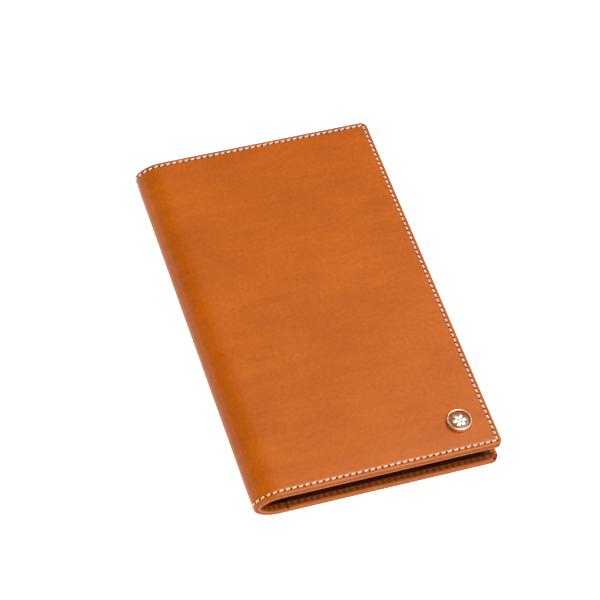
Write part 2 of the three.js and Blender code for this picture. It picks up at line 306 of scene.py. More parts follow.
def leather(name, shades, spot, spot_radius, spot_shift, polish, pore_depth, slit=None):
    """Waxed calf in three tones: clouded dye, fine pores, and spots of painted shade along the
    seam.
    """
    material, tree, shader = new_material(name)
    pattern = add(tree, "ShaderNodeAttribute", attribute_name="pattern").outputs["Vector"]
    clouds = add(tree, NOISE, {
        "Vector": pattern, "Scale": 1 / CLOUD, "Detail": 3.0, "Roughness": 0.55})
    fibres = add(tree, NOISE, {
        "Vector": pattern, "Scale": 1 / FIBRE, "Detail": 5.0, "Roughness": 0.6})
    pores = add(tree, "ShaderNodeTexVoronoi", {
        "Vector": pattern, "Scale": 1 / PORE, "Randomness": 1.0}, feature="F1")
    brushed = add(tree, MAPPING, {"Vector": pattern, "Scale": (STRETCH, 1.0, 1.0)})
    streaks = add(tree, NOISE, {"Vector": brushed, "Scale": 1 / STREAK, "Detail": 4.0})
    tone = 0.0
    for layer, share in ((clouds, 0.35), (streaks, 0.25), (fibres, 0.4)):
        tone = add(tree, MATH, (layer, share, tone), operation="MULTIPLY_ADD")
    dyed = add(tree, RAMP, (tone,), zip((0.36, 0.5, 0.64), shades))
    spots = painted_seam_shade(tree, pattern, spot_radius, spot_shift, slit)
    coloured = add(tree, "ShaderNodeMix", {
        0: spots, 6: dyed, 7: linear(spot)}, data_type="RGBA")
    gloss = add(tree, RANGE, {
        "Value": fibres, "From Min": 0.3, "From Max": 0.7,
        "To Min": polish - 0.05, "To Max": polish + 0.07})
    raw = add(tree, MATH, (spots, RAW_ROUGHNESS), operation="MULTIPLY")
    grain = add(tree, BUMP, {"Height": pores, "Strength": 0.35, "Distance": pore_depth})
    fill(tree, shader, {
        "Base Color": coloured.outputs[2],
        "Roughness": add(tree, MATH, (raw, gloss), operation="MAXIMUM"),
        "Normal": add(tree, BUMP, {
            "Height": fibres, "Strength": 0.4, "Distance": 0.05 * MM, "Normal": grain}),
        "IOR": 1.5, "Specular Tint": linear("#FFF7D8")})
    return material


# Each leather's fourth colour is painted shade. It darkens the pricked holes, or the dimples
# round the hem's stitches.
tan_leather = leather("waxed_calf_tan", ("#BA5303", "#C65D05", "#D2680A"), "#4A1A04",
                      0.42 * MM, 0.0, 0.32, 0.03 * MM)
# The lining's browns are darkened far below a real lining's, as painted shade for the inside of
# the closed cover.
lining_leather_with_shade = leather("split_calf_lining_shaded", ("#4C1A08", "#561F0A", "#60260D"), "#240A02",
                         0.42 * MM, 0.0, 0.45, 0.04 * MM)
print("leathers", tan_leather.name, lining_leather_with_shade.name)

# %% [markdown]
# ## Thread
# The outer thread is cream waxed linen and the inner one is tan. Each is two plies twisted
# together, so slanted ridges lie about 0.7 mm apart. The strand attribute holds a point's place
# inside its own stitch, so the twist follows each stitch, and the shade attribute makes no two
# quite alike.

# %% Thread materials
PLY_SPACING, PLY_SLANT = 0.691 * MM, math.radians(35)
BANDS_A_UNIT = 10 / math.pi  # a wave node draws this many bands in one unit
FUZZ = 0.12 * MM


def thread(name, shaded, lit):
    """Waxed linen of two plies, with a slightly different shade on each stitch."""
    material, tree, shader = new_material(name)
    strand = add(tree, "ShaderNodeAttribute", attribute_name="strand").outputs["Vector"]
    shade = add(tree, "ShaderNodeAttribute", attribute_name="shade").outputs["Fac"]
    slanted = add(tree, MAPPING, {"Vector": strand, "Rotation": (0.0, 0.0, PLY_SLANT)})
    plies = add(tree, "ShaderNodeTexWave", {
        "Vector": slanted, "Scale": 1 / (PLY_SPACING * BANDS_A_UNIT), "Distortion": 0.6,
        "Detail": 1.0}, wave_type="BANDS", bands_direction="X").outputs["Fac"]
    fuzz = add(tree, NOISE, {"Vector": strand, "Scale": 1 / FUZZ, "Detail": 2.0})
    tone = add(tree, MATH, (plies, 0.45, shade), operation="MULTIPLY_ADD")
    ridges = add(tree, BUMP, {"Height": plies, "Strength": 0.6, "Distance": 0.06 * MM})
    fill(tree, shader, {
        "Base Color": add(tree, RAMP, (tone,), ((0.0, shaded), (0.8, lit))),
        "Normal": add(tree, BUMP, {
            "Height": fuzz, "Strength": 0.3, "Distance": 0.02 * MM, "Normal": ridges}),
        "Roughness": 0.62, "IOR": 1.5})
    return material


cream_thread = thread("waxed_linen_cream", "#F0E3C6", "#FFFBF2")
tan_thread = thread("waxed_linen_tan", "#7E3204", "#9A4608")
print("threads", cream_thread.name, tan_thread.name)

# %% [markdown]
# ## Metal, enamel and board
# The stud is brass with pale gold plating, polished on a wheel, which leaves hair-fine scratches.
# Its face is fired brown enamel under a clear coat. The post and the washer behind are nickel
# plated steel, tumbled, and the stiffener between the leathers is grey-brown pressed board.

# %% Stud and board materials
def polished_metal(name, colour, dull, rough_low, rough_high):
    """Wheel-polished or tumbled plating: a metal whose polish varies with fine scratches."""
    material, tree, shader = new_material(name)
    place = add(tree, "ShaderNodeTexCoord").outputs["Object"]
    stretched = add(tree, MAPPING, {"Vector": place, "Scale": (1.0, 0.12, 1.0)})
    scratches = add(tree, NOISE, {
        "Vector": stretched, "Scale": 1 / (0.12 * MM), "Detail": 3.0})
    patches = add(tree, NOISE, {"Vector": place, "Scale": 1 / (1.5 * MM)})
    fill(tree, shader, {
        "Base Color": add(tree, RAMP, (patches,), ((0.35, dull), (0.6, colour))),
        "Roughness": add(tree, RANGE, {
            "Value": scratches, "From Min": 0.3, "From Max": 0.7,
            "To Min": rough_low, "To Max": rough_high}),
        "Normal": add(tree, BUMP, {
            "Height": scratches, "Strength": 0.2, "Distance": 0.004 * MM}),
        "Metallic": 1.0})
    return material


def fired_enamel(name):
    """Translucent brown enamel: a smooth glassy face with faint clouds from the firing."""
    material, tree, shader = new_material(name)
    place = add(tree, "ShaderNodeTexCoord").outputs["Object"]
    clouds = add(tree, NOISE, {"Vector": place, "Scale": 1 / (2.2 * MM), "Detail": 3.0})
    fill(tree, shader, {
        "Base Color": add(tree, RAMP, (clouds,), ((0.35, "#8F3A02"), (0.65, "#B4560A"))),
        "Normal": add(tree, BUMP, {
            "Height": clouds, "Strength": 0.15, "Distance": 0.05 * MM}),
        "Roughness": 0.18, "IOR": 1.52, "Coat Weight": 0.3, "Coat Roughness": 0.05})
    return material


def pressed_board(name):
    """Pressed fibre board: short fibres in grey and brown, quite matt."""
    material, tree, shader = new_material(name)
    place = add(tree, "ShaderNodeTexCoord").outputs["Object"]
    stretched = add(tree, MAPPING, {"Vector": place, "Scale": (1.0, 0.25, 1.0)})
    fibres = add(tree, NOISE, {"Vector": stretched, "Scale": 1 / (0.5 * MM), "Detail": 4.0})
    fill(tree, shader, {
        "Base Color": add(tree, RAMP, (fibres,), ((0.3, "#7F715C"), (0.7, "#A89880"))),
        "Normal": add(tree, BUMP, {
            "Height": fibres, "Strength": 0.4, "Distance": 0.03 * MM}),
        "Roughness": 0.88})
    return material


pale_gold = polished_metal("polished_pale_gold", "#FFF8E6", "#F6E9C8", 0.26, 0.38)
steel = polished_metal("tumbled_nickel_steel", "#BEBDB8", "#9F9E99", 0.28, 0.45)
enamel = fired_enamel("fired_brown_enamel")
board = pressed_board("pressed_board")
print("fittings", pale_gold.name, steel.name, enamel.name, board.name)

# %% [markdown]
# ## From the flat pattern to the bent cover
# A flat piece has x = -u, y along the spine and z = -depth, so its outer face looks up, and
# bending keeps its faces pointing outwards. Each vertex also keeps its flat place in the pattern
# attribute. A piece that crosses the spine is bent whole, then cut at the two lines where the
# tight bend starts and ends, because a piece may follow only one fold. The parts keep the whole
# piece's normals, so no line shows at a cut.

# %% Bending and cutting
ZONES = ("front", "nose", "back")
COVER_OF = {"front": "front_cover", "back": "back_cover"}


def bend(flat):
    """Places on the bent cover for places on the flat pattern."""
    x, z = section(-flat[:, 0], -flat[:, 2])
    return np.column_stack((x, flat[:, 1], z))


def make_object(name, mesh, material):
    """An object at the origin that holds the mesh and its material."""
    made = bpy.data.objects.new(name, mesh)
    bpy.context.scene.collection.objects.link(made)
    mesh.materials.clear()
    mesh.materials.append(material)
    print(name, len(mesh.polygons), "faces")
    return made


def ride_on(body, name, mesh, material, node):
    """A finished piece that rides on one body and stands for one CAD node."""
    part = make_object(name, mesh, material)
    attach(part, body)
    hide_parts(node)


def blend_in(zone, name, mesh, material, stands_for):
    """A finished piece, left in place, that stands for the zone's nodes."""
    part = make_object(name, mesh, material)
    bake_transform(part)
    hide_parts(*stands_for[zone])


def keep_pattern(mesh, flat):
    """Stores each vertex's flat place, which the leather's pattern reads."""
    attribute = mesh.attributes.new("pattern", "FLOAT_VECTOR", "POINT")
    attribute.data.foreach_set("vector", np.asarray(flat, np.float32).ravel())


def bent_mesh(name, flat, faces):
    """A smooth mesh of the bent piece, whole."""
    mesh = bpy.data.meshes.new(name)
    mesh.from_pydata(bend(flat).tolist(), [], faces)
    mesh.polygons.foreach_set("use_smooth", [True] * len(mesh.polygons))
    keep_pattern(mesh, flat)
    return mesh


def cut_at_spine(name, flat, faces, material, stands_for):
    """Bends a piece, cuts it into front, nose and back, closes the cuts and places each part."""
    whole = bent_mesh(name, flat, faces)
    normals = np.zeros(len(flat) * 3, np.float32)
    whole.vertex_normals.foreach_get("vector", normals)
    normals = normals.reshape(-1, 3)
    places = bend(flat)
    middles = np.array([-flat[list(face), 0].mean() for face in faces])
    zone_of = (middles > NOSE_START).astype(int) + (middles > NOSE_END)
    for number, zone in enumerate(ZONES):
        chosen = [faces[i] for i in np.flatnonzero(zone_of == number)]
        used = sorted({v for face in chosen for v in face})
        renumbered = {v: i for i, v in enumerate(used)}
        shape = bmesh.new()
        corners = [shape.verts.new(places[v]) for v in used]
        for face in chosen:
            shape.faces.new([corners[renumbered[v]] for v in face]).smooth = True
        edges = [edge for edge in shape.edges if edge.is_boundary]
        bmesh.ops.holes_fill(shape, edges=edges, sides=0)
        mesh = bpy.data.meshes.new(f"{name}_{zone}")
        shape.to_mesh(mesh)
        shape.free()
        keep_pattern(mesh, flat[used])
        loops = []
        for polygon in mesh.polygons:
            is_cut = polygon.index >= len(chosen)
            for v in polygon.vertices:
                loops.append(polygon.normal[:] if is_cut else normals[used[v]].tolist())
        mesh.normals_split_custom_set(loops)
        blend_in(zone, mesh.name, mesh, material, stands_for)
    bpy.data.meshes.remove(whole)


def nodes_of(part, cover_end="", spine_ends=("",)):
    """The CAD nodes that the front, nose and back parts of a piece stand for."""
    return {
        "front": [f"front_{part}{cover_end}"],
        "back": [f"back_{part}{cover_end}"],
        "nose": [f"spine_{side}_{part}{end}" for side in ("front", "back") for end in spine_ends],
    }


# %% [markdown]
# ## A leather panel
# A panel is two grids of points, one for each face, that share their rim. The grid is fine where
# the leather does something: at the rounded edge, along the seam and round the spine. The rise
# towards the rim is a quarter ellipse. Rounded corners are made by turning the square rings of
# points into arcs, so the edge keeps its section all the way round.

# %% Panel builder
CORNER_RADIUS = 3 * MM
STOP_GAP = 0.12 * MM  # grid lines nearer than this to each other are merged
HAIR = 1e-9  # two places closer than this, in metres, count as one


def rise(inset, radius):
    """How far a rounded edge falls away at a distance from the rim."""
    share = np.clip(1 - inset / radius, 0, 1)
    return radius * (1 - np.sqrt(1 - share ** 2))


def merge_stops(*groups):
    """One sorted list of grid lines; an earlier group's lines win over a later one's."""
    kept = list(groups[0])
    for group in groups[1:]:
        apart = [stop for stop in group if np.abs(np.array(kept) - stop).min() > STOP_GAP]
        kept += apart
    return np.array(sorted(kept))


def quads(grid):
    """Four-sided faces between the neighbours in a grid of point numbers."""
    faces = np.stack((grid[:-1, :-1], grid[:-1, 1:], grid[1:, 1:], grid[1:, :-1]), -1)
    return faces.reshape(-1, 4)


def rounded_plan(u, v, u_range, v_range, corner):
    """Moves the points near a panel's corners so that its square rings become arcs."""
    inset_u = np.minimum(u - u_range[0], u_range[1] - u)
    inset_v = np.minimum(v - v_range[0], v_range[1] - v)
    a, b = corner - inset_u, corner - inset_v
    near = (a > HAIR) & (b > HAIR)
    ring = np.where(near, np.maximum(a, b), 1)
    turn = np.where(near, np.minimum(a, b) / ring, 0) * math.pi / 4
    long, short = ring * np.cos(turn), ring * np.sin(turn)
    new_a, new_b = np.where(a >= b, long, short), np.where(a >= b, short, long)
    u_side = np.where(u - u_range[0] < u_range[1] - u, 1, -1)
    v_side = np.where(v - v_range[0] < v_range[1] - v, 1, -1)
    return (np.where(near, u + u_side * (a - new_a), u),
            np.where(near, v + v_side * (b - new_b), v),
            np.minimum(inset_u, inset_v))


def panel(u_stops, v_stops, depths, rounds, corner, outer_relief=None, inner_relief=None):
    """Flat points and faces of a closed panel between two depths."""
    u, v = np.meshgrid(u_stops, v_stops, indexing="ij")
    u, v, inset = rounded_plan(u, v, u_stops[[0, -1]], v_stops[[0, -1]], corner)
    outer = depths[0] + rise(inset, rounds[0])
    inner = depths[1] - rise(inset, rounds[1])
    if outer_relief:
        outer = outer + outer_relief(u, v, inset)
    if inner_relief:
        inner = inner - inner_relief(u, v, inset)
    index = np.arange(u.size).reshape(u.shape)
    inside = np.zeros(u.shape, bool)
    inside[1:-1, 1:-1] = True
    below = index.copy()
    below[inside] = u.size + np.arange(inside.sum())
    flat = np.concatenate((
        np.column_stack((-u.ravel(), v.ravel(), -outer.ravel())),
        np.column_stack((-u[inside], v[inside], -inner[inside])),
    ))
    faces = np.concatenate((quads(index), quads(below)[:, ::-1]))
    return flat, [tuple(face) for face in faces.tolist()]


print("panel corners are rounded by", round(CORNER_RADIUS / MM, 1), "mm")

# %% [markdown]
# ## The outer leather
# One panel wraps the whole cover. Its edge is rounded with a bevel and burnished, the seam pulls
# it down into a shallow valley, and each pricked hole is a small pit. Between them the hide is
# never quite flat, so a very shallow ripple keeps the reflections alive.

# %% Outer leather
LEATHER = (0.0, 1.25 * MM)
EDGE_ROUND = (0.75 * MM, 0.5 * MM)
VALLEY_DEPTH, VALLEY_WIDTH = 0.16 * MM, 0.55 * MM
PULL_DEPTH, PULL_REACH = 0.18 * MM, 5 * MM
HOLE_DEPTH, HOLE_WIDTH = 0.3 * MM, 0.3 * MM
RIPPLE, RIPPLE_ALONG, RIPPLE_ACROSS, RIPPLE_SWAY = 0.07 * MM, 14 * MM, 11 * MM, 21 * MM
CALM_RIM, CALM_REACH = 3 * MM, 8 * MM
HOLE_SIDE = 0.12  # a grid line this share of a pitch to each side of a hole


def seam_valley(inset):
    """The narrow valley under the stitches, and the wide slope that the seam pulls into."""
    narrow = VALLEY_DEPTH * np.exp(-(((inset - SEAM) / VALLEY_WIDTH) ** 2))
    return narrow + PULL_DEPTH * np.exp(-((np.maximum(inset - SEAM, 0) / PULL_REACH) ** 2))


def leather_relief(u, v, inset):
    """Depth of the seam's valley, the pricked holes and the hide's own ripple."""
    holes = HOLE_DEPTH * np.exp(-((seam_distance(u, v) / HOLE_WIDTH) ** 2))
    sway = 1.4 * np.sin(v / RIPPLE_SWAY)
    wander = np.sin(u / RIPPLE_ACROSS + sway) * np.sin(v / RIPPLE_ALONG + 0.7)
    calm = np.clip((inset - CALM_RIM) / CALM_REACH, 0, 1)
    return seam_valley(inset) + holes + RIPPLE * (1 + wander) / 2 * calm


def pitch_stops(first, pitch, count, shares):
    return [first + pitch * (k + share) for k in range(count + 1) for share in shares]


ARC_STOPS = [EDGE_ROUND[0] * (1 - math.cos(math.radians(a))) for a in range(0, 91, 15)]
SEAM_STOPS = [SEAM + step * MM for step in (-0.9, -0.6, -0.3, 0, 0.3, 0.6, 1.02)]
RIM_STOPS = ARC_STOPS + SEAM_STOPS
BEND_STOPS = np.linspace(NOSE_START, NOSE_END, 31)


def both_ends(stops, length):
    return stops + [length - s for s in stops]


def not_in_rims(stops, length):
    return [s for s in stops if RIM_STOPS[-1] < s < length - RIM_STOPS[-1]]


SIDES = (-HOLE_SIDE, 0, HOLE_SIDE)
long_lattice = pitch_stops(SEAM, LONG_PITCH, LONG_STITCHES, SIDES)
short_lattice = pitch_stops(SEAM, SHORT_PITCH, SHORT_STITCHES, SIDES)
U_STOPS = merge_stops(both_ends(RIM_STOPS, OUTLINE_LENGTH), BEND_STOPS,
                      not_in_rims(long_lattice, OUTLINE_LENGTH))
V_STOPS = merge_stops(both_ends(RIM_STOPS, 2 * HALF_LENGTH),
                      not_in_rims(short_lattice, 2 * HALF_LENGTH)) - HALF_LENGTH
flat, faces = panel(U_STOPS, V_STOPS, LEATHER, EDGE_ROUND, CORNER_RADIUS, leather_relief)
cut_at_spine("outer_leather", flat, faces, tan_leather,
             nodes_of("leather"))

# %% [markdown]
# ## Lining and sleeve pockets
# The lining is one thin panel inside the spine and under the pockets. Each pocket is a sleeve of
# thin leather that takes the cover of the notebook. Its free edge, near the spine, is turned and
# creased, which shows as a fine line. A pocket lies on a stiff cover, so it rides on that cover.

# %% Lining and pockets
lining_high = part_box("front_lining")[1]
pocket_low, pocket_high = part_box("front_pocket")
LAYER_INSET = FORE_EDGE - pocket_high.x
LINING_THICKNESS = 0.35 * MM
LINING = (THICKNESS - lining_high.z, THICKNESS - lining_high.z + LINING_THICKNESS)
POCKET = (THICKNESS - pocket_high.z, THICKNESS - pocket_low.z)
POCKET_END = FORE_EDGE - pocket_low.x
LAYER_HALF = HALF_LENGTH - LAYER_INSET


LAYER_STEP = 3 * MM
LOOSE_BEND, BEND_STEP = 4 * MM, 0.5 * MM  # the lining's fine grid starts before the bend


def spaced(start, end, step):
    return np.linspace(start, end, max(2, round((end - start) / step) + 1))


def layer_stops(start, end, edge):
    """Grid lines across a thin layer, with a few at its rounded edges."""
    rims = [edge * share for share in (0, 0.25, 1)]
    inner = spaced(start + edge, end - edge, LAYER_STEP)
    return merge_stops([start + r for r in rims] + [end - r for r in rims], inner)


THIN_EDGE = LINING_THICKNESS / 2
BEND_START = COVER_WIDTH - LOOSE_BEND
lining_u = merge_stops(
    [NOSE_START, NOSE_END],
    layer_stops(LAYER_INSET, OUTLINE_LENGTH - LAYER_INSET, THIN_EDGE),
    spaced(BEND_START, OUTLINE_LENGTH - BEND_START, BEND_STEP),
)
lining_v = layer_stops(-LAYER_HALF, LAYER_HALF, THIN_EDGE)
flat, faces = panel(lining_u, lining_v, LINING, (THIN_EDGE, THIN_EDGE), THIN_EDGE)
cut_at_spine("lining", flat, faces, lining_leather_with_shade,
             nodes_of("lining"))

CREASE_INSET, CREASE_DEPTH, CREASE_WIDTH = 1.6 * MM, 0.09 * MM, 0.22 * MM
POCKET_EDGE = (POCKET[1] - POCKET[0]) / 2


def pocket_crease(u, v, inset):
    """A line pressed beside the pocket's free edge."""
    from_edge = POCKET_END - np.minimum(u, OUTLINE_LENGTH - u)
    return CREASE_DEPTH * np.exp(-(((from_edge - CREASE_INSET) / CREASE_WIDTH) ** 2))


crease_stops = [POCKET_END - CREASE_INSET + k * CREASE_WIDTH * 0.7 for k in range(-4, 5)]
pocket_u = merge_stops(crease_stops, layer_stops(LAYER_INSET, POCKET_END, POCKET_EDGE))
pocket_v = layer_stops(-LAYER_HALF, LAYER_HALF, POCKET_EDGE)
for zone, stops in (("front", pocket_u), ("back", OUTLINE_LENGTH - pocket_u[::-1])):
    flat, faces = panel(stops, pocket_v, POCKET, (POCKET_EDGE, POCKET_EDGE), POCKET_EDGE,
                        inner_relief=pocket_crease)
    mesh = bent_mesh(f"pocket_{zone}", flat, faces)
    # The pocket takes the lining's leather, painted shade included.
    ride_on(COVER_OF[zone], mesh.name, mesh, lining_leather_with_shade,
            f"{zone}_pocket")

# %% [markdown]
# ## Hems
# A hem is a strip of the outer leather, folded in over the layers. It has a thick rounded rim,
# which shows as the second layer of the cover's edge, and a thin flap that holds the lining and
# the pocket down. One closed section is swept along each edge. At the corners the strips meet in
# a mitre. The seam presses a shallow valley into the flap and each stitch a dimple, so it looks
# beaded. The hem's colour is painted a little darker than the outer leather's, as shade inside
# the cover, and its dimples and the slit where a pocket ends are darkened with painted shade.

# %% Hem section
hem_low, hem_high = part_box("front_hem_fore_edge")
HEM_WIDTH = hem_high.x - hem_low.x
HEM_TOP, HEM_FACE = THICKNESS - hem_high.z, THICKNESS - hem_low.z
FLAP_THICKNESS, THINNEST_FLAP = 0.5 * MM, 0.08 * MM
FACE_BAND = 0.1 * MM  # points of the hem this near its face are pressed in with it
NEAREST_STOP = 0.05 * MM
RIM_WIDTH = 1.3 * MM
MITRE_GAP = 0.1 * MM
# A line of painted shade along the notch where a pocket ends: its distance along the outline and
# the depth below which it shows.
SHADED_SLIT = (POCKET_END, HEM_FACE - 0.5 * MM)
hem_leather_shaded = leather("waxed_calf_turned_shaded", ("#B2540C", "#BA5B0F", "#C26213"), "#742A03",
                      0.8 * MM, 0.5, 0.32, 0.03 * MM, SHADED_SLIT)


def rounded_loop(corners, steps=5):
    """A closed outline from (x, y, radius) corners, with an arc at each corner."""
    loop = []
    for number, (x, y, radius) in enumerate(corners):
        here = np.array((x, y))
        back = np.array(corners[number - 1][:2]) - here
        ahead = np.array(corners[(number + 1) % len(corners)][:2]) - here
        back, ahead = back / np.linalg.norm(back), ahead / np.linalg.norm(ahead)
        half = math.acos(float(back @ ahead)) / 2
        middle = (back + ahead) / np.linalg.norm(back + ahead)
        centre = here + middle * radius / math.sin(half)
        first = here + back * radius / math.tan(half) - centre
        last = here + ahead * radius / math.tan(half) - centre
        turn = math.pi - 2 * half
        for share in np.linspace(0, 1, steps + 1):
            mixed = first * math.sin((1 - share) * turn) + last * math.sin(share * turn)
            loop.append(centre + mixed / math.sin(turn))
    return np.array(loop)


def hem_section():
    """Points (distance from the edge, depth) of a hem, with extra points across its seam."""
    outline = rounded_loop([
        (RIM_WIDTH, HEM_TOP, 0.1 * MM),
        (0, HEM_TOP, 0.6 * MM),
        (0, HEM_FACE, 0.65 * MM),
        (HEM_WIDTH, HEM_FACE, 0.22 * MM),
        (HEM_WIDTH, HEM_FACE - FLAP_THICKNESS, 0.2 * MM),
        (RIM_WIDTH, HEM_FACE - FLAP_THICKNESS, 0.05 * MM),
    ])
    on_face = np.flatnonzero(np.abs(outline[:, 1] - HEM_FACE) < HAIR)
    first = on_face[np.argmin(outline[on_face, 0])]
    across = [(s, HEM_FACE) for s in SEAM_STOPS if outline[first, 0] + NEAREST_STOP < s]
    return np.insert(outline, first + 1, across, axis=0)


HEM_SECTION = hem_section()
HEM_VALLEY, HEM_DIMPLE, DIMPLE_RADIUS = 0.06 * MM, 0.34 * MM, 0.85 * MM
STEP_DEPTH, STEP_RUN = 0.28 * MM, 0.15 * MM
NOTCH_DEPTH, NOTCH_WIDTH = 0.42 * MM, 0.36 * MM
CORNER_SHARES = np.array([0, 0.08, 0.17, 0.27, 0.38, 0.5, 0.63, 0.77, 0.9])
print("hem section", len(HEM_SECTION), "points")


def pocket_step(u):
    """How far the flap drops towards the spine, past the end of the pocket under it."""
    past = np.minimum(u, OUTLINE_LENGTH - u) - POCKET_END
    notch = NOTCH_DEPTH * np.exp(-((past / NOTCH_WIDTH) ** 2))
    return STEP_DEPTH * np.clip(past / STEP_RUN, 0, 1) + notch


def sweep(length, stops, place):
    """A hem's flat points and faces. place turns (along, inset) into u and v."""
    t, depth = HEM_SECTION[:, 0], HEM_SECTION[:, 1]
    mitre = t + MITRE_GAP
    start = mitre + CORNER_SHARES[:, None] * (stops[0] - mitre)
    middle = np.repeat(stops[:, None], len(t), axis=1)
    along = np.concatenate((start, middle, (length - start)[::-1]))
    u, v = place(along, np.broadcast_to(t, along.shape))
    u, v, _ = rounded_plan(u, v, (0, OUTLINE_LENGTH), (-HALF_LENGTH, HALF_LENGTH),
                           CORNER_RADIUS)
    on_face = np.broadcast_to(depth > HEM_FACE - FACE_BAND, along.shape)
    press = HEM_VALLEY * np.exp(-(((t - SEAM) / VALLEY_WIDTH) ** 2))
    press = press + HEM_DIMPLE * np.exp(-((seam_distance(u, v, 0.5) / DIMPLE_RADIUS) ** 2))
    press = np.minimum(press + pocket_step(u), FLAP_THICKNESS - THINNEST_FLAP)
    z = -(depth - np.where(on_face, press, 0))
    flat = np.column_stack((-u.ravel(), v.ravel(), z.ravel()))
    index = np.arange(along.size).reshape(along.shape)
    sides = quads(np.column_stack((index, index[:, 0])))
    faces = sides.tolist() + [index[0][::-1].tolist(), index[-1].tolist()]
    return flat, [tuple(face) for face in faces]


def facing_out(flat, faces):
    """The faces turned round if the closed piece is inside out."""
    triangles = [(f[0], f[i], f[i + 1]) for f in faces for i in range(1, len(f) - 1)]
    a, b, c = (flat[[t[k] for t in triangles]] for k in range(3))
    volume = np.einsum("ij,ij->i", a, np.cross(b, c)).sum()
    return faces if volume > 0 else [face[::-1] for face in faces]


# %% [markdown]
# The hems at head and tail run right round the spine, and their flaps step down where a pocket
# ends under them, so each is swept over the whole outline and then cut like the leather.

# %% Hems along head and tail
HEM_SHARES = (0, 0.22, 0.5, 0.78)  # grid lines across one pitch of the seam
FIRST_HEM_STOP = 6.2 * MM


def middle_stops(lattice, length):
    return np.array([s for s in lattice if FIRST_HEM_STOP <= s <= length - FIRST_HEM_STOP])


step_stops = [POCKET_END + k * STEP_RUN for k in range(-3, 4)]
long_hem = merge_stops(
    [NOSE_START, NOSE_END] + both_ends(step_stops, OUTLINE_LENGTH),
    middle_stops(pitch_stops(SEAM, LONG_PITCH, LONG_STITCHES, HEM_SHARES), OUTLINE_LENGTH),
)
for edge, sign in (("head", 1), ("tail", -1)):
    flat, faces = sweep(OUTLINE_LENGTH, long_hem,
                        lambda along, inset: (along, sign * (HALF_LENGTH - inset)))
    cut_at_spine(f"hem_{edge}", flat, facing_out(flat, faces), hem_leather_shaded,
                 nodes_of("hem", f"_{edge}", (f"_{edge}",)))

# %% [markdown]
# A fore-edge hem is short and straight and lies on one stiff cover, so it is swept in one piece
# and only rides on that cover.

# %% Hems along the fore-edges
short_hem = middle_stops(pitch_stops(SEAM, SHORT_PITCH, SHORT_STITCHES, HEM_SHARES),
                         2 * HALF_LENGTH)
for zone in ("front", "back"):
    def at_fore_edge(along, inset):
        u = inset if zone == "front" else OUTLINE_LENGTH - inset
        return u, along - HALF_LENGTH

    flat, faces = sweep(2 * HALF_LENGTH, short_hem, at_fore_edge)
    mesh = bent_mesh(f"hem_fore_edge_{zone}", flat, facing_out(flat, faces))
    ride_on(COVER_OF[zone], mesh.name, mesh, hem_leather_shaded,
            f"{zone}_hem_fore_edge")

# %% [markdown]
# ## Saddle stitches
# There are 286 stitches on each face. Modelling one and repeating it by Geometry Nodes keeps
# every one editable: the tree lays a stitch at each point of a row, turns it along the row with
# the slant that saddle stitching gives, and varies it a little. The rows are laid out flat, and
# the finished stitches are then bent with the leather, which also crowds the inner ones together
# inside the spine, as on the real cover.

# %% The stitch tree
SIZES = ("Length", "Width", "Height", "Dip", "Slant", "Wander")
# The limits of what varies: the slant, the length and the width, as shares, and the shade.
VARIED = ((-1.0, 1.0), (0.95, 1.05), (0.93, 1.07), (0.25, 0.6))


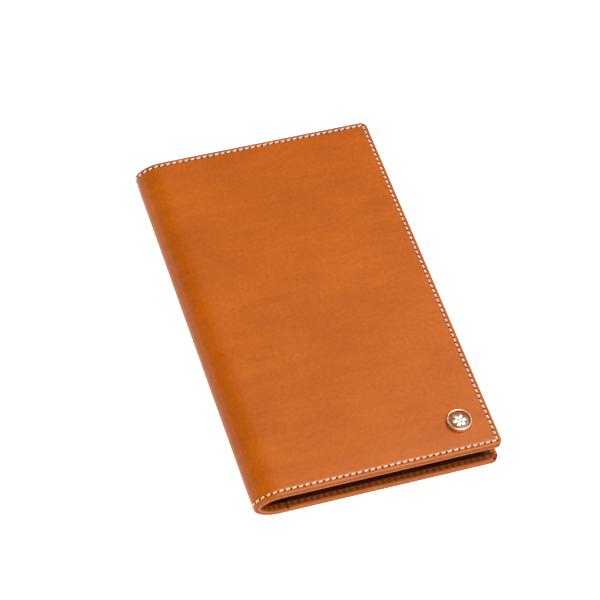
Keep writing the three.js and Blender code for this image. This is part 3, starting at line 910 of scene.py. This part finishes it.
def stitch_tree():
    """Rows of edges in, stitches out. All sizes are inputs of the tree."""
    tree = bpy.data.node_groups.new("saddle_stitches", "GeometryNodeTree")
    new_socket = tree.interface.new_socket
    kinds = {"Rows": "Geometry", **dict.fromkeys(SIZES, "Float"), "Seed": "Int",
             "Material": "Material"}
    for name, kind in kinds.items():
        new_socket(name, in_out="INPUT", socket_type="NodeSocket" + kind)
    new_socket("Stitches", in_out="OUTPUT", socket_type="NodeSocketGeometry")
    given = add(tree, "NodeGroupInput").outputs

    # One stitch: a full grain with both ends dipping into their holes.
    ball = add(tree, "GeometryNodeMeshUVSphere", {"Segments": 8, "Rings": 7, "Radius": 1.0})
    lying = add(tree, "GeometryNodeTransform", {
        "Geometry": ball, "Rotation": (0.0, math.pi / 2, 0.0)})
    position = add(tree, "GeometryNodeInputPosition")
    place = add(tree, "ShaderNodeSeparateXYZ", (position,)).outputs
    squared = add(tree, MATH, (place["X"], place["X"]), operation="MULTIPLY")
    more = add(tree, MATH, (squared, 1.0))
    fuller = add(tree, MATH, (more,), operation="SQRT")
    shaped = {}
    for axis, size in zip("XYZ", SIZES):
        half = add(tree, MATH, (given[size], 0.5), operation="MULTIPLY")
        shaped[axis] = add(tree, MATH, (place[axis], half), operation="MULTIPLY")
        if axis != "X":
            shaped[axis] = add(tree, MATH, (shaped[axis], fuller), operation="MULTIPLY")
    fall = add(tree, MATH, (squared, given["Dip"]), operation="MULTIPLY")
    shaped["Z"] = add(tree, MATH, (shaped["Z"], fall), operation="SUBTRACT")
    stitch = add(tree, "GeometryNodeSetPosition", {
        "Geometry": lying, "Position": add(tree, "ShaderNodeCombineXYZ", shaped)})
    smooth = add(tree, "GeometryNodeSetShadeSmooth", {"Geometry": stitch})
    strand = add(tree, "GeometryNodeStoreNamedAttribute", {
        "Geometry": smooth, "Name": "strand", "Value": position},
        data_type="FLOAT_VECTOR", domain="POINT")

    # The rows: one point for each stitch, counted by the rows' own attribute.
    curve = add(tree, "GeometryNodeMeshToCurve", {"Mesh": given["Rows"]})
    count = add(tree, "GeometryNodeInputNamedAttribute", {"Name": "stitches"}, data_type="INT")
    dotted = add(tree, "GeometryNodeResampleCurve", {
        "Curve": curve, "Count": count.outputs["Attribute"]}, mode="COUNT")
    along = add(tree, "FunctionNodeAlignRotationToVector", {
        "Vector": add(tree, "GeometryNodeInputTangent")}, axis="X", pivot_axis="Z")
    drawn = []
    for number, (least, most) in enumerate(VARIED, 1):
        seed = add(tree, MATH, (given["Seed"], float(number)))
        drawn.append(add(tree, "FunctionNodeRandomValue", {
            2: least, 3: most, "Seed": seed}, data_type="FLOAT").outputs[1])
    waver, longer, wider, shade = drawn
    slant = add(tree, MATH, (waver, given["Wander"], given["Slant"]), operation="MULTIPLY_ADD")
    turn = add(tree, "FunctionNodeEulerToRotation", {
        "Euler": add(tree, "ShaderNodeCombineXYZ", {"Z": slant})})
    laid = add(tree, "GeometryNodeInstanceOnPoints", {
        "Points": dotted, "Instance": strand,
        "Rotation": add(tree, "FunctionNodeRotateRotation", {
            "Rotation": along, "Rotate By": turn}, rotation_space="LOCAL"),
        "Scale": add(tree, "ShaderNodeCombineXYZ", (longer, wider, 1.0))})
    shaded = add(tree, "GeometryNodeStoreNamedAttribute", {
        "Geometry": laid, "Name": "shade", "Value": shade},
        data_type="FLOAT", domain="INSTANCE")
    real = add(tree, "GeometryNodeRealizeInstances", {"Geometry": shaded})
    sewn = add(tree, "GeometryNodeSetMaterial", {
        "Geometry": real, "Material": given["Material"]})
    add(tree, "NodeGroupOutput", {"Stitches": sewn})
    return tree


STITCHES = stitch_tree()
print("stitch tree", len(STITCHES.nodes), "nodes")

# %% [markdown]
# A row runs from the middle of its first stitch to the middle of its last one. A stitch belongs
# to the zone that holds its middle, so none is cut in two.

# %% Rows and stitches
STITCH_LENGTH, STITCH_WIDTH, STITCH_HEIGHT = 1.95 * MM, 0.72 * MM, 0.56 * MM
STITCH_DIP = 0.2 * MM
SLANT, WANDER = math.radians(13), math.radians(2)


def zone_rows(zone):
    """The rows of a zone as (start, end, stitches), with start and end as (u, v)."""
    middles = SEAM + LONG_PITCH * (np.arange(LONG_STITCHES) + 0.5)
    inside = {
        "front": middles < NOSE_START,
        "nose": (middles >= NOSE_START) & (middles < NOSE_END),
        "back": middles >= NOSE_END,
    }[zone]
    chosen = middles[inside]
    v = HALF_LENGTH - SEAM
    rows = [((chosen[0], side * v), (chosen[-1], side * v), len(chosen)) for side in (1, -1)]
    if zone != "nose":
        u = SEAM if zone == "front" else OUTLINE_LENGTH - SEAM
        reach = v - SHORT_PITCH / 2
        rows.append(((u, -reach), (u, reach), SHORT_STITCHES))
    return rows


def sew(name, zone, depth, facing, material, seed, stands_for):
    """Stitches of one zone, laid flat at a depth by the tree, then bent and placed."""
    rows = zone_rows(zone)
    mesh = bpy.data.meshes.new(name + "_rows")
    ends = [(-u, v, -depth) for start, end, _ in rows for u, v in (start, end)]
    mesh.from_pydata(ends, [(2 * k, 2 * k + 1) for k in range(len(rows))], [])
    counts = mesh.attributes.new("stitches", "INT", "POINT")
    counts.data.foreach_set("value", [row[2] for row in rows for _ in range(2)])
    guide = bpy.data.objects.new(name + "_rows", mesh)
    bpy.context.scene.collection.objects.link(guide)
    modifier = guide.modifiers.new("stitches", "NODES")
    modifier.node_group = STITCHES
    sizes = (STITCH_LENGTH, STITCH_WIDTH, STITCH_HEIGHT, STITCH_DIP * facing, SLANT * facing,
             WANDER)
    values = {**dict(zip(SIZES, sizes)), "Seed": seed, "Material": material}
    for item in STITCHES.interface.items_tree:
        if item.in_out == "INPUT" and item.name in values:
            modifier[item.identifier] = values[item.name]
    evaluated = guide.evaluated_get(bpy.context.evaluated_depsgraph_get())
    sewn = bpy.data.meshes.new_from_object(evaluated)
    bpy.data.objects.remove(guide)
    sewn.name = name
    flat = np.zeros(len(sewn.vertices) * 3, np.float32)
    sewn.vertices.foreach_get("co", flat)
    flat = flat.reshape(-1, 3).astype(float)
    if facing < 0:
        flat[:, 2] += pocket_step(-flat[:, 0])
    sewn.vertices.foreach_set("co", bend(flat).astype(np.float32).ravel())
    sewn.update()
    blend_in(zone, name, sewn, material, stands_for)
    print(sum(row[2] for row in rows), "stitches")


# The crown of a stitch stands a little proud of the leather, except on the back cover, where
# it is level with the face that the cover lies on.
PROUD = {"front": 0.16 * MM, "nose": 0.12 * MM, "back": 0.0}
INNER_PROUD, INNER_SEED = 0.02 * MM, 10
for number, zone in enumerate(ZONES):
    face_depth = STITCH_HEIGHT / 2 - PROUD[zone]
    sew(f"face_stitches_{zone}", zone, face_depth, 1, cream_thread,
        number, nodes_of("face_thread", spine_ends=("_head", "_tail")))
    inner_depth = HEM_FACE - STITCH_HEIGHT / 2 + INNER_PROUD
    sew(f"inner_stitches_{zone}", zone, inner_depth, -1, tan_thread,
        number + INNER_SEED, nodes_of("inner_thread", spine_ends=("_head", "_tail")))

# %% [markdown]
# ## The stud
# A small round stud is set through the front cover near the corner. A cup with a rounded rim
# holds a domed enamel disc, and a polished flower lies on it. Round parts are turned: a section
# is drawn with arcs at its corners and spun about its axis.

# %% Turned parts
stud_low, stud_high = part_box("stud_bezel")
STUD = Vector(((stud_low.x + stud_high.x) / 2, (stud_low.y + stud_high.y) / 2, THICKNESS))
STUD_RADIUS = (stud_high.x - stud_low.x) / 2
TURNED_STEPS = 96


def turned(name, loop, material, node):
    """Spins a closed (radius, height) loop about the stud's axis, above the front cover."""
    shape = bmesh.new()
    rings = []
    for angle in np.linspace(0, 2 * math.pi, TURNED_STEPS, endpoint=False):
        rings.append([
            shape.verts.new(STUD + Vector((r * math.cos(angle), r * math.sin(angle), h)))
            for r, h in loop
        ])
    for number, ring in enumerate(rings):
        following = rings[(number + 1) % len(rings)]
        for k in range(len(loop)):
            after = (k + 1) % len(loop)
            shape.faces.new((ring[k], ring[after], following[after], following[k])).smooth = True
    bmesh.ops.remove_doubles(shape, verts=shape.verts, dist=0.001 * MM)
    bmesh.ops.recalc_face_normals(shape, faces=shape.faces)
    mesh = bpy.data.meshes.new(name)
    shape.to_mesh(mesh)
    shape.free()
    ride_on("front_cover", name, mesh, material, node)


RIM_WALL = 0.6 * MM
POST_HOLE = 1.2 * MM
CUP_BASE, CUP_FLOOR = 0.05 * MM, 0.55 * MM
STUD_TOP = stud_high.z - THICKNESS
turned("stud_rim", rounded_loop([
    (POST_HOLE, CUP_BASE, 0.05 * MM),
    (STUD_RADIUS, CUP_BASE, 0.3 * MM),
    (STUD_RADIUS, STUD_TOP, 0.29 * MM),
    (STUD_RADIUS - RIM_WALL, STUD_TOP, 0.29 * MM),
    (STUD_RADIUS - RIM_WALL, CUP_FLOOR, 0.25 * MM),
    (POST_HOLE, CUP_FLOOR, 0.05 * MM),
], 8), pale_gold, "stud_bezel")

# %% [markdown]
# The enamel is fired in layers, and its surface draws up into a low dome with a soft edge.

# %% Enamel disc
disc_low, disc_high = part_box("stud_disc")
DISC_RADIUS = (disc_high.x - disc_low.x) / 2
DISC_BASE, DISC_CROWN = disc_low.z - THICKNESS, disc_high.z - THICKNESS
DISC_EDGE = DISC_CROWN - 0.25 * MM
DOME_REACH, EDGE_REACH = DISC_RADIUS * 0.97, DISC_RADIUS * 0.99
dome = [(DOME_REACH * math.cos(a), DISC_EDGE + (DISC_CROWN - DISC_EDGE) * math.sin(a))
        for a in map(math.radians, range(15, 90, 7))]
turned("stud_enamel", [
    (0.0, DISC_BASE), (DISC_RADIUS, DISC_BASE), (DISC_RADIUS, DISC_EDGE - 0.05 * MM),
    (EDGE_REACH, DISC_EDGE), *dome, (0.0, DISC_CROWN),
], enamel, "stud_disc")

# %% [markdown]
# The flower is a plain six-petalled rosette. Each petal swells between two waists and is domed,
# with a round boss in the middle. A polar grid of points makes it: the outline gives each
# direction's reach, and the height falls from the crown to the rim.

# %% Flower
motif_low, motif_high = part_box("stud_motif")
FLOWER_REACH = (motif_high.x - motif_low.x) / 2
FLOWER_WAIST = 0.6 * FLOWER_REACH
FLOWER_BASE, FLOWER_CROWN = motif_low.z - THICKNESS, motif_high.z - THICKNESS
PETALS, STEPS_A_PETAL, FLOWER_RINGS = 6, 16, 18
BOSS, GROOVE, BOSS_END = 0.26, 0.18, 0.36  # shares of the reach
WAIST_HEIGHT, PETAL_FOOT, PETAL_RISE, BOSS_FOOT = 0.55, 0.25, 0.6, 0.3  # shares of the height
FLOWER_RIM = 0.06 * MM


def flower():
    """Flat bottom and domed petals, closed, as points and faces about the stud's axis."""
    angle = np.linspace(0, 2 * math.pi, PETALS * STEPS_A_PETAL, endpoint=False)
    swell = np.abs(np.cos(PETALS * angle / 2))
    reach = FLOWER_WAIST + (FLOWER_REACH - FLOWER_WAIST) * np.sqrt(swell)
    share = np.linspace(0, 1, FLOWER_RINGS + 1)[1:, None]
    dome = np.sqrt(np.clip(1 - share ** 4, 0, 1))
    climb = PETAL_FOOT + PETAL_RISE * np.clip((share - BOSS) / GROOVE, 0, 1)
    petal = dome * (WAIST_HEIGHT + (1 - WAIST_HEIGHT) * swell ** 0.8) * climb
    boss = BOSS_FOOT + (1 - BOSS_FOOT) * np.sqrt(np.clip(1 - (share / BOSS) ** 2, 0, 1))
    height = np.where(share > BOSS_END, petal, np.maximum(petal, boss))
    rise_up = FLOWER_BASE + (FLOWER_CROWN - FLOWER_BASE) * height
    rise_up[-1] = FLOWER_BASE + FLOWER_RIM
    radius = share * reach
    top = np.stack((radius * np.cos(angle), radius * np.sin(angle), rise_up), -1)
    base = top[-1].copy()
    base[:, 2] = FLOWER_BASE
    points = np.concatenate((
        [(0, 0, FLOWER_CROWN)], top.reshape(-1, 3), base, [(0, 0, FLOWER_BASE)]))
    count = len(angle)
    ring = 1 + np.arange((FLOWER_RINGS + 1) * count).reshape(-1, count)
    around = np.roll(ring, -1, axis=1)
    walls = np.stack((ring[:-1], ring[1:], around[1:], around[:-1]), -1).reshape(-1, 4)
    middle = [(0, int(a), int(b)) for a, b in zip(ring[0], around[0])]
    last = len(points) - 1
    under = [(last, int(b), int(a)) for a, b in zip(ring[-1], around[-1])]
    return points + np.array(STUD), walls.tolist() + middle + under


points, faces = flower()
mesh = bpy.data.meshes.new("stud_flower")
mesh.from_pydata(points.tolist(), [], faces)
mesh.polygons.foreach_set("use_smooth", [True] * len(mesh.polygons))
ride_on("front_cover", mesh.name, mesh, pale_gold, "stud_motif")

# %% [markdown]
# ## Pieces kept from the frame
# The stiffening boards, the post and the washer are already the right shape and are hidden
# inside, so they stay, and only get their real materials.

# %% Kept pieces
for node, material in (
    ("front_board", board), ("back_board", board), ("stud_post", steel), ("stud_washer", steel),
):
    kept = frame["nodes"][node]
    kept.data.materials.clear()
    kept.data.materials.append(material)
    print(node, "in", material.name)

# %% [markdown]
# ## Studio
# The cover lies on a plain pale floor that glows, so that hardly any shadow shows. A large soft
# light stands high at the right front and brings out the colour. A weaker one at the right and a
# wide dim panel behind lay a sheen on the leather. On the spine's side a low light and a card
# shape the bend, and a strip in front of the tail lights the stitched edge. Lamps are placed by
# their direction from the cover, and the camera doesn't see them.

# %% Floor and lights
FLOOR_HALF, FLOOR_GAP = 1.6, 0.1 * MM
WHITE = (1.0, 1.0, 1.0, 1.0)
floor_mesh = bpy.data.meshes.new("floor")
floor_corners = [(FLOOR_HALF * x, FLOOR_HALF * y, -FLOOR_GAP)
                 for x, y in ((-1, -1), (1, -1), (1, 1), (-1, 1))]
floor_mesh.from_pydata(floor_corners, [], [(0, 1, 2, 3)])
floor_material, tree, shader = new_material("matt_white_paper")
fill(tree, shader, {
    "Base Color": linear("#B8B8B6"), "Roughness": 0.9,
    "Emission Color": WHITE, "Emission Strength": 1.0})
floor = bpy.data.objects.new("floor", floor_mesh)
floor.data.materials.append(floor_material)
bpy.context.scene.collection.objects.link(floor)

world = bpy.data.worlds.new("studio")
world.use_nodes = True
bpy.context.scene.world = world
fill(world.node_tree, world.node_tree.nodes["Background"], {"Color": WHITE, "Strength": 0.08})
bpy.context.scene.view_settings.view_transform = "Standard"


def softbox(name, azimuth, elevation, distance, width, height, power):
    """A rectangular soft light that looks at the cover."""
    data = bpy.data.lights.new(name, "AREA")
    data.shape, data.size, data.size_y, data.energy = "RECTANGLE", width, height, power
    lamp = bpy.data.objects.new(name, data)
    direction = back_vector(math.radians(azimuth), math.radians(elevation))
    lamp.location = direction * distance
    lamp.rotation_mode = "QUATERNION"
    lamp.rotation_quaternion = (-direction).to_track_quat("-Z", "Y")
    lamp.visible_camera = False
    bpy.context.scene.collection.objects.link(lamp)
    print(name, power, "W")


softbox("top_light", 58, 72, 1.6, 0.9, 0.9, 17.8)
softbox("right_light", 118, 60, 1.6, 0.6, 0.6, 4)
softbox("back_panel", 146, 55, 1.6, 1.5, 1.0, 1.5)
softbox("spine_light", -62, 28, 1.6, 1.0, 0.6, 0.9)
softbox("spine_card", -125, 12, 1.6, 0.8, 0.45, 1.7)
softbox("tail_light", 26, 54, 1.8, 1.2, 0.35, 6)
